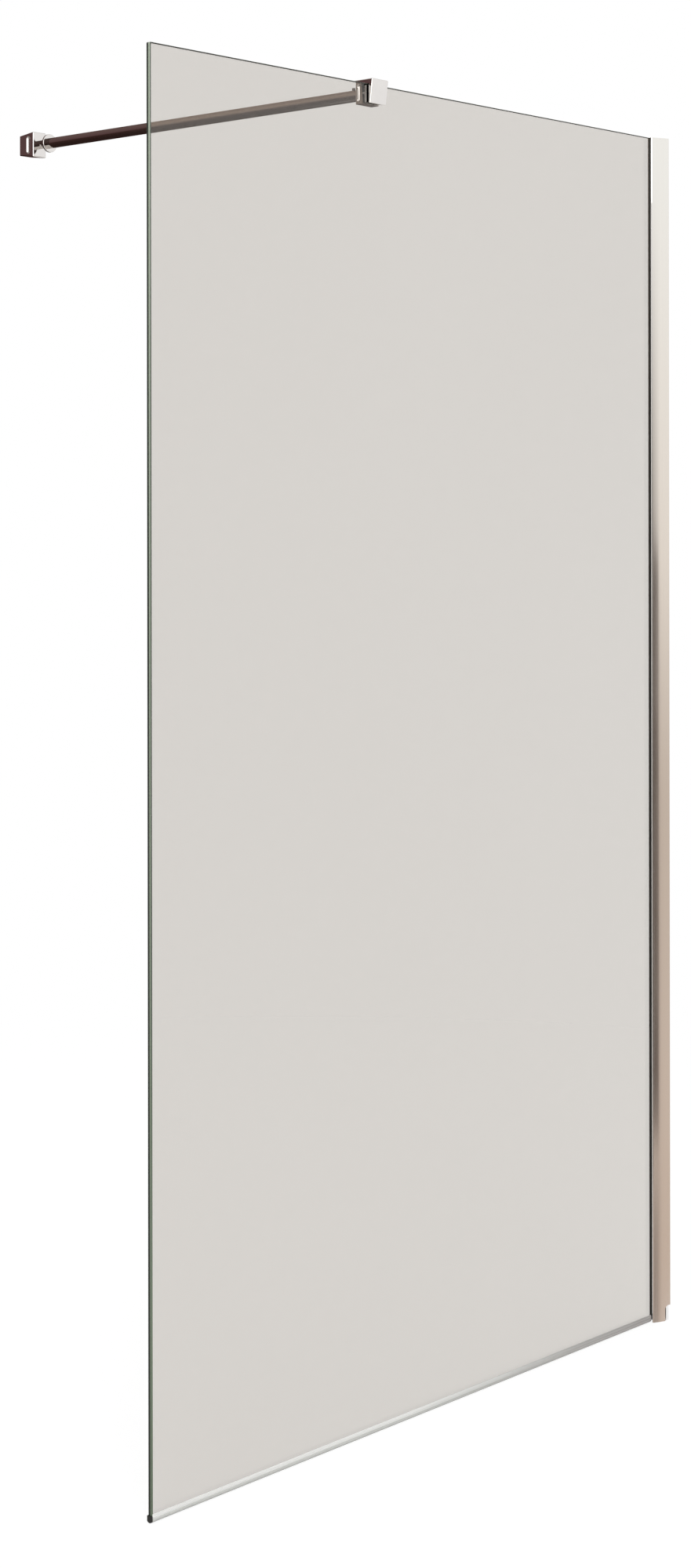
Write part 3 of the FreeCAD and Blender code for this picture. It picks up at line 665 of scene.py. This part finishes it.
def half_dome(name, side, stops, middle, bounces):
    """Half dome round the bar's middle: the dim brown room that the bar and the fittings mirror.

    Its three ramps of stops are for what lies ahead of the bar's end, for what lies beside it,
    and for metal that is seen through the pane.
    """
    low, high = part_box("support_bar")
    centre = (low + high) / 2
    around, upward = ROOM_SEGMENTS
    shape = bmesh.new()
    bmesh.ops.create_uvsphere(shape, u_segments=around, v_segments=upward, radius=ROOM_RADIUS)
    other = [vert for vert in shape.verts if vert.co.y * side < -ROOM_RIM]
    bmesh.ops.delete(shape, geom=other, context="VERTS")
    bmesh.ops.translate(shape, verts=shape.verts[:], vec=centre)
    graph = finish(name)
    heights = (centre.z - ROOM_RADIUS, centre.z + ROOM_RADIUS)
    straight = abs(graph.along("Y") - centre.y) * (1.0 / ROOM_RADIUS)
    ahead, beside, behind_pane = [by_height(graph, heights, ramp) for ramp in stops]
    colour = graph.blend(graph.share(straight, *ROOM_SIDE), (beside, ahead))
    through = graph.share(graph.ray("Transmission Depth"), 0.0, 1.0)
    colour = graph.blend(through, (colour, behind_pane))
    colour = graph.blend(graph.share(straight, *ROOM_MIDDLE), (colour, middle))
    metal_card(graph, new_object(name, shape), colour, bounces)


def front_room():
    """Card before the wall profile: the room, with a dark doorway in it, that its face mirrors."""
    low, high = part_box("glazing_profile")
    foot = (low + high) / 2
    places = [
        (foot.x + FRONT_DISTANCE * math.tan(bearing), foot.y - FRONT_DISTANCE)
        for bearing in FRONT_BEARINGS
    ]
    card = upright("front_room", *places, FRONT_HEIGHTS)
    graph = finish("front_room")
    aside = (graph.along("X") - foot.x) * (1.0 / FRONT_DISTANCE)
    height = graph.along("Z")
    door = graph.band(aside, *DOOR_BEARINGS, DOOR_SOFT) * graph.band(height, *DOOR_HEIGHTS, DOOR_SOFT)
    post = graph.band(aside, *POST_BEARINGS, POST_SOFT) * (1.0 - graph.share(height, *POST_HEIGHTS))
    clear = graph.share(aside, *SKIRTING_BEARINGS).either(graph.share(height, *SKIRTING_HEIGHTS))
    above = graph.share(height, *DOOR_HEIGHTS)
    shade = door.either(POST_SHARE * post * above).either(SKIRTING_SHARE * (1.0 - clear))
    room = by_height(graph, FRONT_HEIGHTS, FRONT_STOPS)
    metal_card(graph, card, graph.blend(shade, (room, DOOR)), ONCE)


def nose_room():
    """Card close before the profile's nose, which gives it the tones of the face beside it."""
    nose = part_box("glazing_profile")[0].x
    glass_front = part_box("glass_panel")[0].y
    places = [
        (nose + NOSE_DISTANCE * math.sin(bearing), glass_front - NOSE_DISTANCE * math.cos(bearing))
        for bearing in NOSE_BEARINGS
    ]
    card = upright("nose_room", *places, NOSE_HEIGHTS)
    graph = finish("nose_room")
    metal_card(graph, card, by_height(graph, NOSE_HEIGHTS, NOSE_STOPS), ONCE)


def bright_window():
    """Card to the left of the bar: the bright window that the flutes mirror."""
    low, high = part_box("support_bar")
    centre = (low + high) / 2
    places = [
        (centre.x + WINDOW_DISTANCE * math.cos(bearing), centre.y + WINDOW_DISTANCE * math.sin(bearing))
        for bearing in WINDOW_BEARINGS
    ]
    card = upright("bright_window", *places, WINDOW_HEIGHTS)
    graph = finish("bright_window")
    metal_card(graph, card, by_height(graph, WINDOW_HEIGHTS, WINDOW_STOPS), ONCE, WINDOW_STRENGTH)


def key_light():
    lamp = bpy.data.lights.new("key", "AREA")
    lamp.size = KEY_SIZE
    lamp.energy = KEY_WATTS
    key = bpy.data.objects.new("key", lamp)
    bpy.context.scene.collection.objects.link(key)
    low, high = CAD_BOX
    key.location = KEY_PLACE
    aim = (low + high) / 2 - key.location
    key.rotation_euler = aim.to_track_quat("-Z", "Y").to_euler()
    key.visible_glossy = False


def photo_camera():
    lens = bpy.data.cameras.new("camera")
    lens.sensor_width = SENSOR_MM
    lens.lens = SENSOR_MM * FOCAL_PIXELS / IMAGE_LONG_SIDE
    lens.shift_y = (HORIZON_ROW - IMAGE_MIDDLE_ROW) / IMAGE_LONG_SIDE
    camera = bpy.data.objects.new("camera", lens)
    bpy.context.scene.collection.objects.link(camera)
    camera.location = CAMERA_PLACE
    camera.rotation_euler = (CAMERA_LEVEL, CAMERA_ROLL, CAMERA_HEADING)
    bpy.context.scene.camera = camera


dress_nodes()
glass_pane()
white_world()
white_floor()
half_dome("rear_room", 1, (ROOM_AHEAD, ROOM_BESIDE, ROOM_BEHIND_PANE), ROOM_PALE, ONCE_OR_MORE)
half_dome("near_room", -1, (NEAR_DIM, NEAR_DIM, NEAR_BEHIND_PANE), NEAR_MIDDLE, TWICE_OR_MORE)
front_room()
nose_room()
bright_window()
key_light()
photo_camera()
bpy.context.scene.view_settings.view_transform = "Standard"
